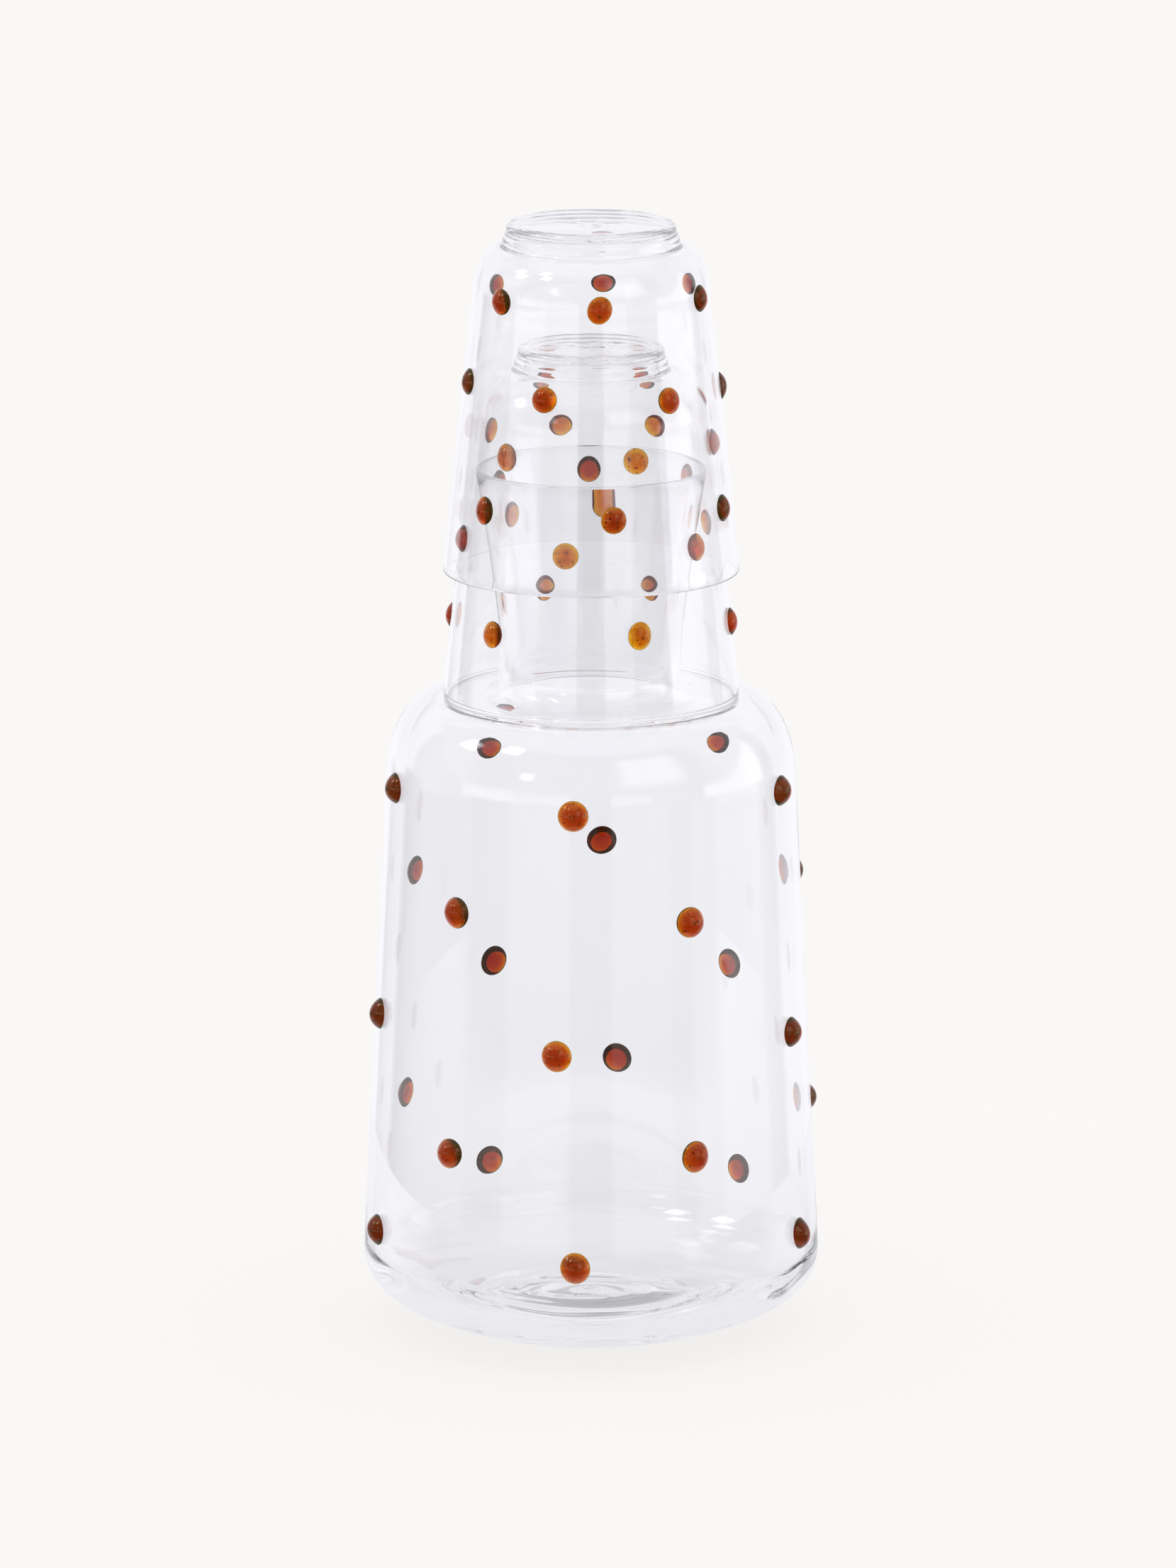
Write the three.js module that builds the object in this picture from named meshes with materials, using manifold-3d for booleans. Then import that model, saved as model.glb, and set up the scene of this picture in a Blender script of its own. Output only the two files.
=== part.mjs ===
// Bedside water carafe of clear blown glass with two tumblers turned over its neck as lids.
// All three vessels carry amber glass drops, set on by hand in staggered rows.
// Millimetres, +Z up. The origin is the middle of the ring that the carafe stands on.
import * as THREE from 'three';
import { mergeVertices } from 'three/addons/utils/BufferGeometryUtils.js';
import Module from 'manifold-3d';

// Tumbler, measured as it stands upside down: its rim is at height 0 and its foot is on top
const tumblerRimRadius = 36.2;
const tumblerDraft = 6.05; // lean of the straight wall, in degrees
const tumblerWallHeight = 68; // rim to the start of the shoulder
const tumblerShoulderRise = 12; // height of the rounded shoulder
const tumblerFootRise = 6.0; // height of the foot above the shoulder
const lowerFootStep = 9.4; // how far the lower tumbler's shoulder curls in before its foot starts
const upperFootStep = 6.6; // the same on the upper tumbler, which has a wider foot
const tumblerFootTaper = 1.6; // how much narrower the foot is at its far end
const tumblerFootHollow = 2.0; // height of the hollow between the shoulder and the foot
const tumblerFootEdge = 2.2; // rounding of the foot's outer edge
const tumblerFootWall = 1.6; // glass in the side of the foot
const tumblerWall = 1.0;
const tumblerFloor = 2.6; // glass under a drink

// Carafe
const standingRadius = 28; // outer edge of the ring that it stands on
const standingWidth = 4; // width of that ring
const kickHeight = 3.2; // push-up in the middle of the base
const baseRadius = 56.2; // widest part, just above the rounded base
const baseRise = 19.8; // height of the rounded base
const baseSlope = 16; // climb of the underside away from the standing ring, in degrees
const baseReach = 21; // how far the underside keeps that climb before it turns up
const carafeWallTop = 138.4; // where the straight wall ends and the shoulder starts
const carafeTopRadius = 50.2; // radius there
const shoulderRise = 20.6; // height of the rounded shoulder
const carafeWall = 1.8;
const carafeFloor = 4.9; // glass in the base
const waistInset = 6.4; // how much narrower the neck is at its waist than at the mouth
const waistFillet = 5.5; // hollow between the shoulder and the neck
const waistLength = 14; // stretch of the neck that stays near the waist before it flares

// Fits between the vessels
const seatGap = 0.3; // between pieces that rest on each other
const rimLedge = 0.9; // flat of the shoulder left outside the rim that rests on it
const mouthClearance = 1.0; // between the carafe's mouth and the tumbler round it
const mouthHeadroom = 12; // from the mouth up to the start of that tumbler's shoulder

// Amber drops. A drop's outline leaves the wall at its flank and turns over at its nose:
// both are shares of its radius and height.
const carafeDropRadius = 3.8;
const carafeDropHeight = 2.9;
const tumblerDropRadius = 3.2;
const tumblerDropHeight = 1.9;
const dropSeam = 0.15; // between a drop and its wall
const dropFlank = { across: 0.85, up: 0.6 };
const dropNose = { across: 0.5, up: 1 };

// Rows of drops are evenly spaced, from the first row's height below the top of the straight wall
// to the last row's height above the foot of that wall. Each drop in a row has its place: an angle
// from the front (-Y) towards +X in degrees, then its lift off the row in millimetres.
const carafeDrops = {
  firstBelowTop: 0,
  lastAboveFoot: 8.2,
  rows: [
    [[-5, 0.4], [66, 0.2], [140, 0.8], [-149, -1.5], [-71, 0]],
    [[-39, 1.9], [27.5, 0.9], [106, 0.5], [177, -0.6], [-119, -2.2]],
    [[-9, -3.2], [66, -4.7], [138, -1.9], [-152, -3], [-76, -2.2]],
    [[-39, -2.4], [27.5, -1.7], [103, -1.9], [173, -2.3], [-119, -4.2]],
    [[-4, 0], [66, 0], [137, 0], [-152, 0], [-69.5, 0]],
  ],
};
const lowerTumblerDrops = {
  firstBelowTop: 6,
  lastAboveFoot: 18.6,
  rows: [
    [[-42.5, 0], [21, 0.2], [79, 0.8], [147, -0.2], [-165, -0.6], [-120, 0.3]],
    [[-11, -0.7], [51, -0.7], [113, -0.7], [174, -0.7], [-137, -1.6], [-73, -0.7]],
    [[-44, 0.3], [20, 1.5], [80, -0.2], [151, 0.4], [-158, 0.2], [-101, -1]],
  ],
};
const upperTumblerDrops = {
  firstBelowTop: -1,
  lastAboveFoot: 18.4,
  rows: [
    [[-48, 0.4], [4, 0], [64, 0.2], [122, 0], [174, -1], [-125, -0.6]],
    [[-71, 4.6], [-21, 3.5], [36.5, 2.6], [98, 1], [153, 2.9], [-156, 2.9]],
    [[-48.5, 0.5], [9, 0.2], [67, -0.6], [130, 0], [-179, 0], [-133, -1.5]],
  ],
};

// Facets
const carafeSides = 40;
const tumblerSides = 36;
const dropSides = 10;
const curveSteps = 5;
const tightSteps = 3;
const samePoint = 1e-4; // points nearer than this are one

// Sizes that follow from the driving dimensions
const taper = Math.tan(THREE.MathUtils.degToRad(tumblerDraft));
const tumblerHeight = tumblerWallHeight + tumblerShoulderRise + tumblerFootRise;
const tumblerShoulderRadius = tumblerRimRadius - taper * tumblerWallHeight;
const nestPitch = (tumblerWall + tumblerDropHeight + seatGap) / taper;
const shoulderHeight = carafeWallTop + shoulderRise;
const shoulderFlatRadius = tumblerRimRadius + rimLedge;
const lowerTumblerSeat = shoulderHeight + seatGap;
const upperTumblerSeat = lowerTumblerSeat + nestPitch;
const neckRise = tumblerWallHeight - mouthHeadroom;
const mouthRadius = tumblerRimRadius - tumblerWall - taper * neckRise - mouthClearance;
const waistRadius = mouthRadius - waistInset;
const carafeHeight = lowerTumblerSeat + neckRise;

// Materials
const clearGlass = () => new THREE.MeshStandardMaterial({
  color: 0xecedf2, roughness: 0.04, metalness: 0, transparent: true, opacity: 0.4,
});
const amberGlass = () => new THREE.MeshStandardMaterial({
  color: 0xb4693c, roughness: 0.06, metalness: 0, transparent: true, opacity: 0.9,
});

// Outlines are lists of points (radius, height), joined from lines and curves
const at = (radius, height) => new THREE.Vector2(radius, height);

function join(...pieces) {
  const points = [];
  for (const point of pieces.flat()) {
    const last = points.at(-1);
    if (!last || last.distanceTo(point) > samePoint) {
      points.push(point);
    }
  }
  return points;
}

const bend = (from, corner, to, steps = tightSteps) =>
  new THREE.QuadraticBezierCurve(from, corner, to).getPoints(steps);

const sweep = (from, leave, arrive, to, steps = curveSteps) =>
  new THREE.CubicBezierCurve(from, leave, arrive, to).getPoints(steps);

// Stretch of an ellipse between two angles, in quarter turns from the outward direction
const quarter = (centre, across, up, fromTurn, toTurn, steps = curveSteps) =>
  new THREE.EllipseCurve(
    centre.x, centre.y, across, up, fromTurn * Math.PI / 2, toTurn * Math.PI / 2, toTurn < fromTurn,
  ).getPoints(steps);

function revolve(outline, sides) {
  return new THREE.LatheGeometry(outline, sides).rotateX(Math.PI / 2);
}

// Outside of a tumbler, from the rim up to the middle of its foot
function tumblerOutside(footStep) {
  const footJoin = at(tumblerShoulderRadius - footStep, tumblerWallHeight + tumblerShoulderRise);
  const footWaist = footJoin.x - tumblerFootTaper / 2;
  const footEnd = footJoin.x - tumblerFootTaper;
  return join(
    [at(tumblerRimRadius, tumblerWall / 2)],
    quarter(at(footJoin.x, tumblerWallHeight), footStep, tumblerShoulderRise, 0, 1),
    bend(footJoin, at(footWaist, footJoin.y), at(footWaist, footJoin.y + tumblerFootHollow)),
    bend(at(footEnd, tumblerHeight - tumblerFootEdge), at(footEnd, tumblerHeight),
      at(footEnd - tumblerFootEdge, tumblerHeight), curveSteps),
    [at(0, tumblerHeight)],
  );
}

// Inside of a tumbler, from the middle of its floor down to the rim
function tumblerInside(footStep) {
  const floorHeight = tumblerHeight - tumblerFloor;
  const shoulderEnd = at(tumblerShoulderRadius - footStep - tumblerWall,
    tumblerWallHeight + tumblerShoulderRise - tumblerWall);
  const footEnd = tumblerShoulderRadius - footStep - tumblerFootTaper;
  const well = at(footEnd - tumblerFootWall, (shoulderEnd.y + floorHeight) / 2);
  const wellRound = floorHeight - well.y;
  return join(
    [at(0, floorHeight)],
    bend(at(well.x - wellRound, floorHeight), at(well.x, floorHeight), well),
    bend(well, at(well.x, shoulderEnd.y), shoulderEnd),
    quarter(at(shoulderEnd.x, tumblerWallHeight), footStep, tumblerShoulderRise - tumblerWall, 1, 0),
    [at(tumblerRimRadius - tumblerWall, tumblerWall / 2)],
  );
}

function tumblerSolid(footStep) {
  const rim = quarter(at(tumblerRimRadius - tumblerWall / 2, tumblerWall / 2),
    tumblerWall / 2, tumblerWall / 2, -2, 0, tightSteps + 1);
  return revolve(join(tumblerInside(footStep), rim, tumblerOutside(footStep)), tumblerSides);
}

// Middle of the hollow between the shoulder and the neck
const filletCentre = () => at(waistRadius + waistFillet, shoulderHeight + waistFillet);

// Outside of the carafe, from the middle of its base up to the lip
function carafeOutside() {
  const climb = Math.tan(THREE.MathUtils.degToRad(baseSlope));
  const fillet = filletCentre();
  return join(
    bend(at(0, kickHeight), at((standingRadius - standingWidth) / 2, kickHeight),
      at(standingRadius - standingWidth, 0)),
    sweep(at(standingRadius, 0), at(standingRadius + baseReach, baseReach * climb),
      at(baseRadius, baseRise / 2), at(baseRadius, baseRise)),
    quarter(at(shoulderFlatRadius, carafeWallTop),
      carafeTopRadius - shoulderFlatRadius, shoulderRise, 0, 1),
    quarter(fillet, waistFillet, waistFillet, 3, 2),
    bend(at(waistRadius, fillet.y), at(waistRadius, fillet.y + waistLength),
      at(mouthRadius, carafeHeight - carafeWall / 2), curveSteps),
  );
}

// Inside of the carafe, from the lip down to the middle of its floor
function carafeInside() {
  const fillet = filletCentre();
  const innerWaist = waistRadius - carafeWall;
  const innerBase = baseRadius - carafeWall;
  const floorEdge = at(standingRadius, carafeFloor);
  return join(
    bend(at(mouthRadius - carafeWall, carafeHeight - carafeWall / 2),
      at(innerWaist, fillet.y + waistLength), at(innerWaist, fillet.y), curveSteps),
    quarter(fillet, waistFillet + carafeWall, waistFillet + carafeWall, 2, 3),
    quarter(at(shoulderFlatRadius, carafeWallTop),
      carafeTopRadius - carafeWall - shoulderFlatRadius, shoulderRise - carafeWall, 1, 0),
    sweep(at(innerBase, baseRise + carafeWall), at(innerBase, baseRise / 2 + carafeWall),
      at((floorEdge.x + innerBase) / 2, floorEdge.y), floorEdge),
    bend(floorEdge, at(floorEdge.x / 2, floorEdge.y), at(0, carafeFloor + kickHeight)),
  );
}

function carafeSolid() {
  const lip = quarter(at(mouthRadius - carafeWall / 2, carafeHeight - carafeWall / 2),
    carafeWall / 2, carafeWall / 2, 0, 2, tightSteps + 1);
  return revolve(join(carafeOutside(), lip, carafeInside()), carafeSides);
}

// A drop set on glass: a flat underside at height 0 and a rounded nose, on a root of the given depth
function dropSolid(radius, height, root = 0) {
  const dome = sweep(at(radius, 0), at(radius * dropFlank.across, height * dropFlank.up),
    at(radius * dropNose.across, height * dropNose.up), at(0, height), tightSteps);
  return revolve(join([at(0, -root), at(radius, -root)], dome), dropSides);
}

// Point on an outline at a height, and the outward direction there
function wallAt(outline, height) {
  const crosses = (point, index) => index > 0 && outline[index - 1].y < height && point.y >= height;
  const above = outline.findIndex(crosses);
  const [low, high] = [outline[above - 1], outline[above]];
  const share = (height - low.y) / (high.y - low.y);
  const along = high.clone().sub(low).normalize();
  return { point: low.clone().lerp(high, share), outward: at(along.y, -along.x) };
}

// Sets a drop square on a wall, at an angle round the axis from the front
function setOnWall(drop, outline, height, angle, lift) {
  const { point, outward } = wallAt(outline, height);
  const turn = THREE.MathUtils.degToRad(angle);
  const place = (flat) => new THREE.Vector3(flat.x * Math.sin(turn), -flat.x * Math.cos(turn), flat.y);
  drop.quaternion.setFromUnitVectors(new THREE.Vector3(0, 0, 1), place(outward));
  drop.position.copy(place(point.clone().addScaledVector(outward, lift)));
  drop.updateMatrix();
  return drop;
}

const solids = await Module();
solids.setup();

function toManifold(geometry) {
  const bare = geometry.clone();
  bare.deleteAttribute('normal');
  bare.deleteAttribute('uv');
  const merged = mergeVertices(bare, samePoint);
  const corners = [];
  for (let face = 0; face < merged.index.count; face += 3) {
    const [a, b, c] = [0, 1, 2].map((corner) => merged.index.getX(face + corner));
    if (a !== b && b !== c && c !== a) {
      corners.push(a, b, c);
    }
  }
  return new solids.Manifold(new solids.Mesh({
    numProp: 3,
    vertProperties: merged.attributes.position.array,
    triVerts: new Uint32Array(corners),
  }));
}

function toGeometry(manifold) {
  const mesh = manifold.getMesh();
  const geometry = new THREE.BufferGeometry();
  geometry.setAttribute('position', new THREE.BufferAttribute(mesh.vertProperties, 3));
  geometry.setIndex(new THREE.BufferAttribute(mesh.triVerts, 1));
  geometry.computeVertexNormals();
  return geometry;
}

function piece(name, geometry, material) {
  const mesh = new THREE.Mesh(geometry, material);
  mesh.name = name;
  return mesh;
}

// Heights of the rows of drops on a wall that runs from its foot up to its top
function rowHeights(drops, foot, top) {
  const first = top - drops.firstBelowTop;
  const last = foot + drops.lastAboveFoot;
  return drops.rows.map((row, index) => THREE.MathUtils.lerp(first, last, index / (drops.rows.length - 1)));
}

// Drops of one row, each a piece of its own, counted from the front
function addRow(group, prefix, places, outline, height, dropRadius, dropHeight) {
  places.forEach(([angle, lift], index) => {
    const drop = piece(`${prefix}_${index + 1}`, dropSolid(dropRadius, dropHeight - dropSeam), amberGlass());
    group.add(setOnWall(drop, outline, height + lift, angle, dropSeam));
  });
}

// The carafe's wall with its lowest row of drops melted into it
function carafeWithDrops(outline, places, height) {
  let glass = toManifold(carafeSolid());
  for (const [angle, lift] of places) {
    const drop = new THREE.Mesh(dropSolid(carafeDropRadius, carafeDropHeight, carafeWall / 2));
    setOnWall(drop, outline, height + lift, angle, 0);
    glass = glass.add(toManifold(drop.geometry.applyMatrix4(drop.matrix)));
  }
  return toGeometry(glass);
}

function makeCarafe() {
  const group = new THREE.Group();
  const outline = carafeOutside();
  const heights = rowHeights(carafeDrops, baseRise, carafeWallTop);
  const lowest = heights.length - 1;
  const glass = carafeWithDrops(outline, carafeDrops.rows[lowest], heights[lowest]);
  group.add(piece('carafe', glass, clearGlass()));
  carafeDrops.rows.slice(0, lowest).forEach((places, row) => {
    const prefix = `carafe_drop_${row + 1}`;
    addRow(group, prefix, places, outline, heights[row], carafeDropRadius, carafeDropHeight);
  });
  return group;
}

function makeTumbler(name, drops, seat, footStep) {
  const group = new THREE.Group();
  group.position.z = seat;
  group.add(piece(name, tumblerSolid(footStep), clearGlass()));
  const outline = tumblerOutside(footStep);
  const heights = rowHeights(drops, 0, tumblerWallHeight);
  drops.rows.forEach((places, row) => {
    const prefix = `${name}_drop_${row + 1}`;
    addRow(group, prefix, places, outline, heights[row], tumblerDropRadius, tumblerDropHeight);
  });
  return group;
}

const set = new THREE.Group();
set.add(makeCarafe());
set.add(makeTumbler('lower_tumbler', lowerTumblerDrops, lowerTumblerSeat, lowerFootStep));
set.add(makeTumbler('upper_tumbler', upperTumblerDrops, upperTumblerSeat, upperFootStep));

export default set;
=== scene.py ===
# %% [markdown]
# A bedside set of clear blown glass: a carafe, and two tumblers that are turned over and nested on
# its neck as lids. Amber glass drops are set on all three vessels. The frame holds the measured
# solids, and this lesson gives them smooth walls, glass and light. First the frame is loaded.

# %% Load the frame
import math
import random

import bmesh
import bpy
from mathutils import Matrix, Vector, noise


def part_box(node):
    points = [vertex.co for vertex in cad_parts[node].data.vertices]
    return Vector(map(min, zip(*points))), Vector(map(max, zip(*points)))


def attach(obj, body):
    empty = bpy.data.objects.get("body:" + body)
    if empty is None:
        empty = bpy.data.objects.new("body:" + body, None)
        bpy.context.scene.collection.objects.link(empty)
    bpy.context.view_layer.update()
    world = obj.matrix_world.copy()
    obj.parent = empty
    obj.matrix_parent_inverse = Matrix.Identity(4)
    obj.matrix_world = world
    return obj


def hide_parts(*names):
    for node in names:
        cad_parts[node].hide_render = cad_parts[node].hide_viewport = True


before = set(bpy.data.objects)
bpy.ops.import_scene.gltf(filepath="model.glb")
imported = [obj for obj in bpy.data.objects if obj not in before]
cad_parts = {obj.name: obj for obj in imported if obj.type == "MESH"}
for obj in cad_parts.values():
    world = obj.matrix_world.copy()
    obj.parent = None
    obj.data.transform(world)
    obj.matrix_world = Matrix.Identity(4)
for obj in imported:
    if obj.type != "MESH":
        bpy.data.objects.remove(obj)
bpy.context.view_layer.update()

MM = 0.001

# %% [markdown]
# The camera comes before the pieces, because the photograph's angle decides how the light is read.
# The picture was taken from far away with a long lens, a little above the object. The lens is
# worked out from the scale of the picture at the object's axis, so that the render and the
# photograph can be laid over each other.

# %% Camera
PICTURE_WIDTH = 1659
PICTURE_HEIGHT = 2212
PIXELS_PER_MM = 5.75
AXIS_COLUMN = 834
SENSOR_HEIGHT = 36.0
camera_distance = 2476 * MM
camera_tilt = math.radians(12.5)
aim_height = 135.8 * MM

camera_data = bpy.data.cameras.new("photo_camera")
camera_data.sensor_fit = "VERTICAL"
camera_data.sensor_height = SENSOR_HEIGHT
camera_data.lens = PIXELS_PER_MM / MM * camera_distance / PICTURE_HEIGHT * SENSOR_HEIGHT
camera = bpy.data.objects.new("photo_camera", camera_data)
aim = Vector(((PICTURE_WIDTH / 2 - AXIS_COLUMN) / PIXELS_PER_MM * MM, 0, aim_height))
camera.location = aim + camera_distance * Vector((0, -math.cos(camera_tilt), math.sin(camera_tilt)))
camera.rotation_euler = (math.pi / 2 - camera_tilt, 0, 0)
bpy.context.scene.collection.objects.link(camera)
bpy.context.scene.camera = camera
print("lens:", round(camera_data.lens, 1), "mm")

# %% [markdown]
# Materials and light are both node trees, and their sums are easier to read as expressions. This
# small class wraps the output of a node. An operator between two of them, or with a number, adds a
# Math node, and one method adds any other node: its settings are set first, and then its sockets
# are filled or linked.


# %% Node expressions
class Wire:
    # Places of the colours among the sockets of a Mix node
    MIX_FIRST, MIX_SECOND, MIX_RESULT = 6, 7, 2

    def __init__(self, tree, socket):
        self.tree = tree
        self.socket = socket

    @staticmethod
    def node(tree, kind, settings=None, sockets=None, output=0):
        made = tree.nodes.new(kind)
        for name, value in (settings or {}).items():
            setattr(made, name, value)
        for name, value in (sockets or {}).items():
            if isinstance(value, Wire):
                tree.links.new(value.socket, made.inputs[name])
            else:
                made.inputs[name].default_value = value
        return Wire(tree, made.outputs[output])

    def twin(self, output):
        """Another output of the same node."""
        return Wire(self.tree, self.socket.node.outputs[output])

    def math(self, operation, first, second):
        return Wire.node(self.tree, "ShaderNodeMath", {"operation": operation}, {0: first, 1: second})

    def __add__(self, other):
        return self.math("ADD", self, other)

    def __radd__(self, other):
        return self.math("ADD", other, self)

    def __sub__(self, other):
        return self.math("SUBTRACT", self, other)

    def __rsub__(self, other):
        return self.math("SUBTRACT", other, self)

    def __mul__(self, other):
        return self.math("MULTIPLY", self, other)

    def __rmul__(self, other):
        return self.math("MULTIPLY", other, self)

    def __neg__(self):
        return self.math("MULTIPLY", self, -1.0)

    def angle_from(self, other):
        return self.math("ARCTAN2", self, other)

    def size(self):
        return Wire.node(self.tree, "ShaderNodeMath", {"operation": "ABSOLUTE"}, {0: self})

    def step(self, low, high):
        """0 below low, 1 above high, and a smooth rise between; low may be the greater."""
        rise = {"From Min": low, "From Max": high, "To Min": 0.0, "To Max": 1.0, "Value": self}
        if low > high:
            rise = {"From Min": high, "From Max": low, "To Min": 1.0, "To Max": 0.0, "Value": self}
        return Wire.node(self.tree, "ShaderNodeMapRange", {"interpolation_type": "SMOOTHSTEP"}, rise)

    def between(self, low, high, soft):
        return self.step(low - soft, low + soft) * self.step(high + soft, high - soft)

    def mix(self, first, second):
        """Colour that goes from first to second as this value goes from 0 to 1."""
        colours = {0: self, Wire.MIX_FIRST: first, Wire.MIX_SECOND: second}
        return Wire.node(self.tree, "ShaderNodeMix", {"data_type": "RGBA"}, colours, output=Wire.MIX_RESULT)


def clear_tree(tree):
    tree.nodes.clear()
    return tree


def finish_tree(tree, kind, **ends):
    end = tree.nodes.new(kind)
    for name, wire in ends.items():
        tree.links.new(wire.socket, end.inputs[name])


print("node expressions ready")

# %% [markdown]
# Glass shows hardly anything of itself, only what is round it, so the light is made before the
# glass. It is a studio that is written in the world as a brightness for every direction, which
# renders with little noise. Small windows high up on the left and a large soft light on the right
# give the bright spots on shoulders and drops.

# %% Studio lights
WINDOW_EDGE = 2.0
SIDE_LIGHT_EDGE = 6.0

# Each light: left and right in degrees from the camera towards +X, bottom and top in degrees above
# the horizon, and brightness
WINDOWS = {
    "far": (-99, -87, 34, 44, 7.0),
    "middle": (-69, -56, 44, 54, 7.0),
    "near": (-42, -34, 18, 25, 2.5),
}
SIDE_LIGHT = (18, 56, 14, 44, 1.2)


def lit_pane(azimuth, elevation, light, edge):
    left, right, bottom, top, brightness = light
    return azimuth.between(left, right, edge) * elevation.between(bottom, top, edge) * brightness


def studio_lights(azimuth, elevation):
    lights = lit_pane(azimuth, elevation, SIDE_LIGHT, SIDE_LIGHT_EDGE)
    for window in WINDOWS.values():
        lights = lights + lit_pane(azimuth, elevation, window, WINDOW_EDGE)
    return lights


print("lights:", len(WINDOWS), "windows and a side light")

# %% [markdown]
# A wall of glass mirrors a strip of the studio near the eye line: the tumblers, which lean more, at
# the eye, the carafe lower down, and both lower still towards their sides. So there are three rows
# of panels: at the eye, below it, and low. Each has the white backdrop behind, pale panels or grey
# stands on the camera's side, a dark slit where the camera is, and darker gaps between. They draw
# the long pale and grey bands on the glass.

# %% Studio panels
PANEL_EDGE = 1.2

# Each panel: start and end in degrees from the camera towards +X, and brightness
PANELS_AT_EYE = {
    "backdrop_left": (-181, -122, 0.97),
    "shade_left": (-122, -78, 0.50),
    "bright_left": (-78, -45, 1.35),
    "panel_left": (-45, -11.4, 0.90),
    "camera_slit": (-11.4, 11.4, 0.02),
    "panel_right": (11.4, 35, 0.90),
    "shade_right": (35, 67, 0.30),
    "soft_box": (67, 113, 1.70),
    "edge_right": (113, 125, 0.50),
    "backdrop_right": (125, 181, 0.97),
}
PANELS_BELOW = {
    "backdrop_left": (-181, -130, 1.00),
    "edge_left": (-130, -112, 0.20),
    "stand_left": (-112, -71, 0.50),
    "gap_left": (-71, -47, 0.05),
    "stand_near_left": (-47, -11.4, 0.40),
    "camera_slit": (-11.4, 11.4, 0.00),
    "stand_near_right": (11.4, 44, 0.40),
    "gap_right": (44, 57, 0.20),
    "stand_right": (57, 73, 0.50),
    "soft_box": (73, 108, 1.10),
    "edge_right": (108, 125, 0.50),
    "backdrop_right": (125, 181, 1.00),
}
PANELS_LOW = PANELS_BELOW | {
    "backdrop_left": (-181, -155, 1.00),
    "backdrop_shade": (-155, -130, 0.80),
    "stand_left": (-112, -71, 0.25),
    "soft_box": (73, 108, 0.80),
}


def panel_row(azimuth, panels):
    level = 0.0
    for start, end, brightness in panels.values():
        level = level + azimuth.between(start, end, PANEL_EDGE) * brightness
    return level


print("panels:", len(PANELS_AT_EYE), "at the eye,", len(PANELS_BELOW), "below,", len(PANELS_LOW), "low")

# %% [markdown]
# Above the panels come the room, which is dark on the camera's side and pale at the sides and
# behind, and then the ceiling. Below them is the floor. Lines and tops are elevations and spans are
# azimuths to either side of the camera, all in degrees.

# %% Studio above and below the eye
LOW_LINE = -8.0
TABLE_LINE = -14.2
LINE_EDGE = 1.5
CEILING_LINE = 54.0
CEILING_EDGE = 6.0
PANEL_TOP = 5.0
BACKDROP_TOP = 32.0
ROOM_EDGE = (-3.0, 5.0)
SIDE_ROOM_SPAN = (65.0, 85.0)
ROOM_LEVEL = 0.25
SIDE_ROOM_LEVEL = 0.80
CEILING_LEVEL = 0.90
FAR_FLOOR_LEVEL = 0.93
NEAR_FLOOR_LEVEL = 0.15


def under(elevation, line):
    return elevation.step(line + LINE_EDGE, line - LINE_EDGE)


def upper_studio(azimuth, elevation, far):
    top = far * (BACKDROP_TOP - PANEL_TOP) + PANEL_TOP
    room = (elevation - top).step(*ROOM_EDGE)
    side = azimuth.size().step(*SIDE_ROOM_SPAN)
    wall = side * (SIDE_ROOM_LEVEL - ROOM_LEVEL) + ROOM_LEVEL
    ceiling = elevation.step(CEILING_LINE - CEILING_EDGE, CEILING_LINE + CEILING_EDGE)
    above = ceiling * CEILING_LEVEL + (1.0 - ceiling) * wall
    return panel_row(azimuth, PANELS_AT_EYE) * (1.0 - room) + room * above


def lower_studio(azimuth, elevation, far):
    low = under(elevation, LOW_LINE)
    table = under(elevation, TABLE_LINE)
    panels = panel_row(azimuth, PANELS_BELOW) * (1.0 - low) + panel_row(azimuth, PANELS_LOW) * low
    floor = far * (FAR_FLOOR_LEVEL - NEAR_FLOOR_LEVEL) + NEAR_FLOOR_LEVEL
    return panels * (1.0 - table) + floor * table


print("floor from", NEAR_FLOOR_LEVEL, "near the camera to", FAR_FLOOR_LEVEL, "far from it")

# %% [markdown]
# Now the parts are put together. Only light that a face of the glass has thrown back meets the
# panels. Light that has merely passed through glass meets white all round, so the set stays clear
# from every side. The two are told apart by the number of times that a ray was thrown back. The
# camera itself sees plain paper.

# %% Studio
PAPER = (0.955, 0.939, 0.922, 1.0)
COOL_WHITE = (0.965, 0.96, 1.0, 1.0)
EYE_LINE = -3.0
FAR_SPAN = (80.0, 125.0)
ONCE_THROWN_BACK = (0.6, 0.4)


def directions(tree):
    """Azimuth from the camera towards +X and elevation, in degrees."""
    to_degrees = math.degrees(1)
    direction = Wire.node(tree, "ShaderNodeTexCoord", output="Generated")
    x = Wire.node(tree, "ShaderNodeSeparateXYZ", sockets={0: direction})
    azimuth = x.angle_from(-x.twin("Y")) * to_degrees
    elevation = Wire.node(tree, "ShaderNodeMath", {"operation": "ARCSINE"}, {0: x.twin("Z")}) * to_degrees
    return azimuth, elevation


def straight_through(tree):
    """1 for light that has only passed through glass, and 0 once a face of the glass has thrown it back."""
    times_thrown_back = Wire.node(tree, "ShaderNodeLightPath", output="Glossy Depth")
    return times_thrown_back.step(*ONCE_THROWN_BACK)


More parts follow.
